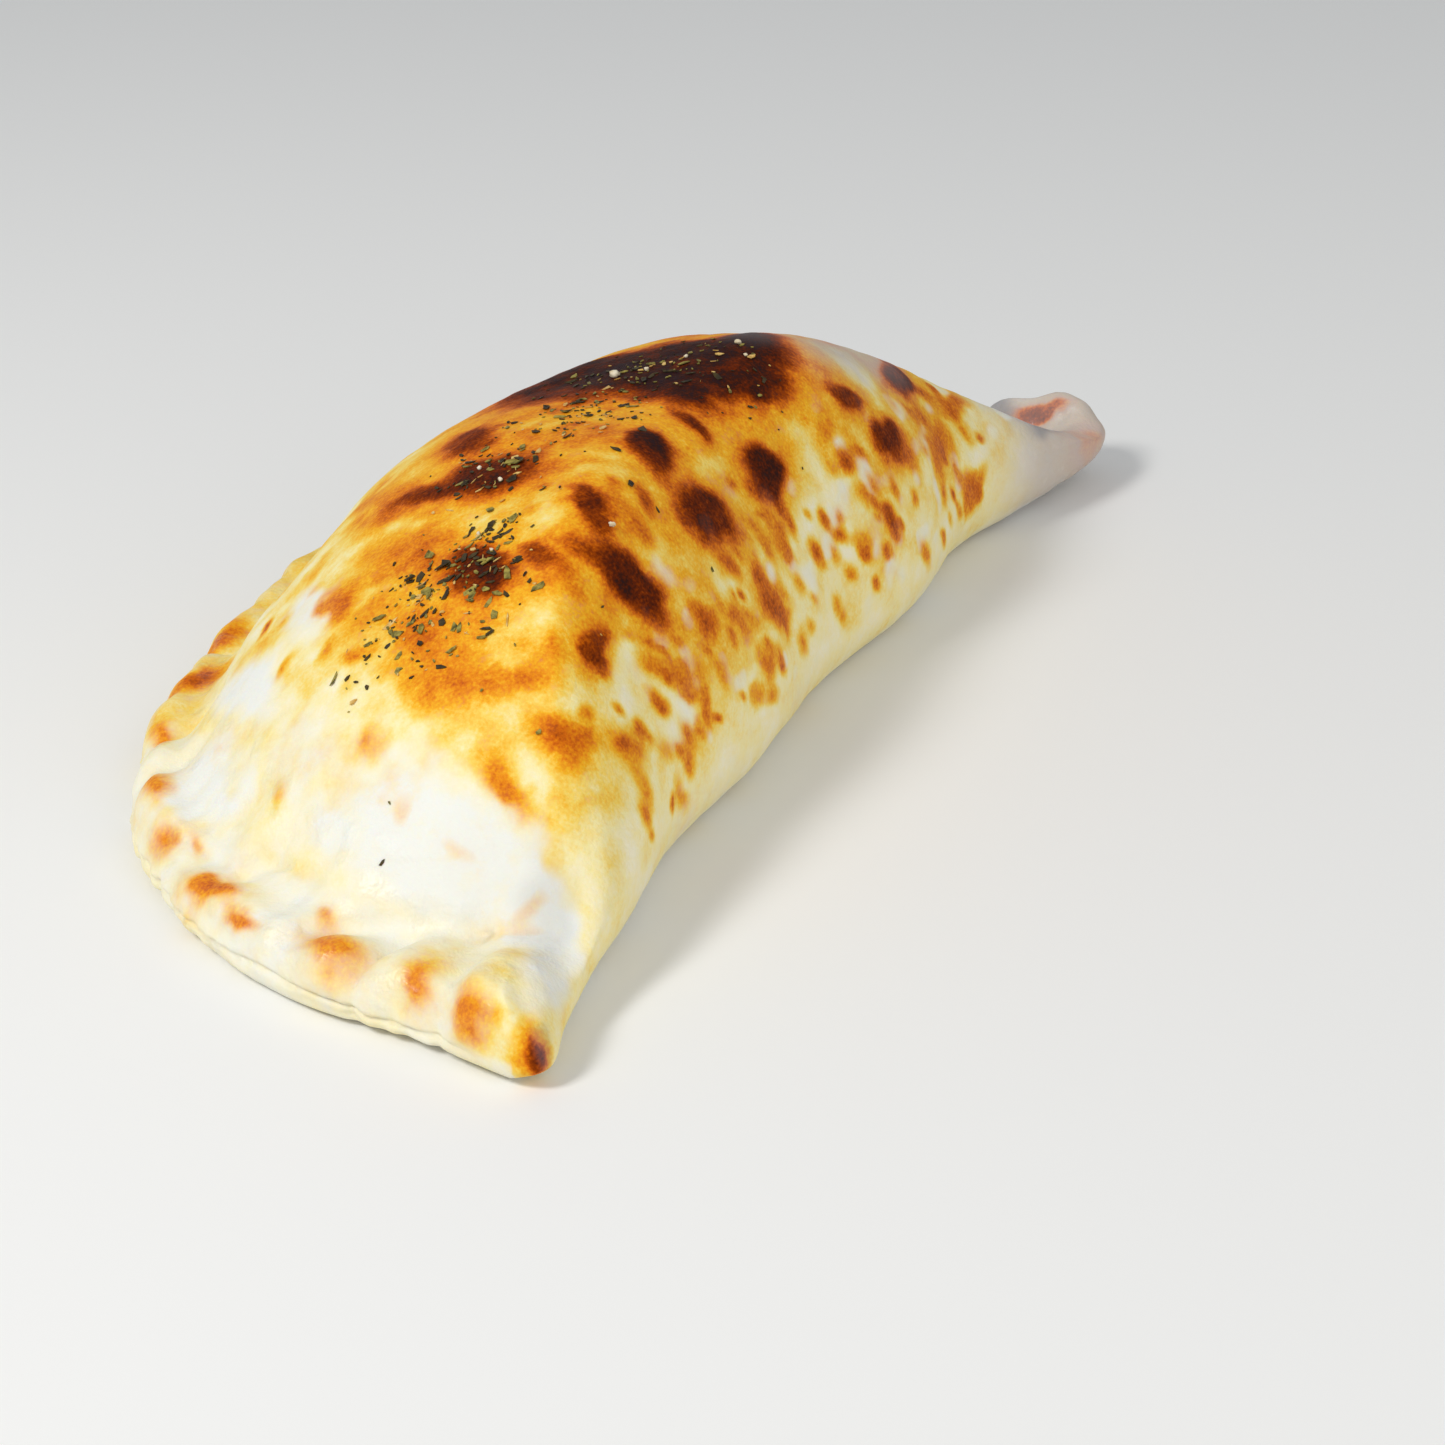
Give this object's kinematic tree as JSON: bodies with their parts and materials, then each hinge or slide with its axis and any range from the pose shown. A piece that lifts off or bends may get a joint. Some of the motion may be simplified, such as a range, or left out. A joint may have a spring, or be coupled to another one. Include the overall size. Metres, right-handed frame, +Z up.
{
  "type": "calzone",
  "caption": "Baked folded pizza: a puffed half-disc of blistered dough with a pressed, creased rim, curled corners and dried herb flakes on its crown, resting on a flat base.",
  "frame": {"origin": "middle of the bounding box at the level of the flat base", "axes": "+Z up; +Y along the fold, from the corner with the broad rim lobe to the curled corner; the fold is on the +X side and the pressed rim on the -X side"},
  "size_m": [0.1512, 0.3164, 0.0704],
  "materials": {
    "crust": "baked dough, cream to golden with dark blisters, dry and slightly satin",
    "herb_green": "dried oregano leaf, grey green and crumbly",
    "herb_dark": "dried oregano leaf scorched nearly black",
    "herb_straw": "pale dry stalk and leaf rib",
    "crumb": "crumb of dried flour paste"
  },
  "bodies": {
    "root": {"crust": "crust"}
  },
  "joints": []
}
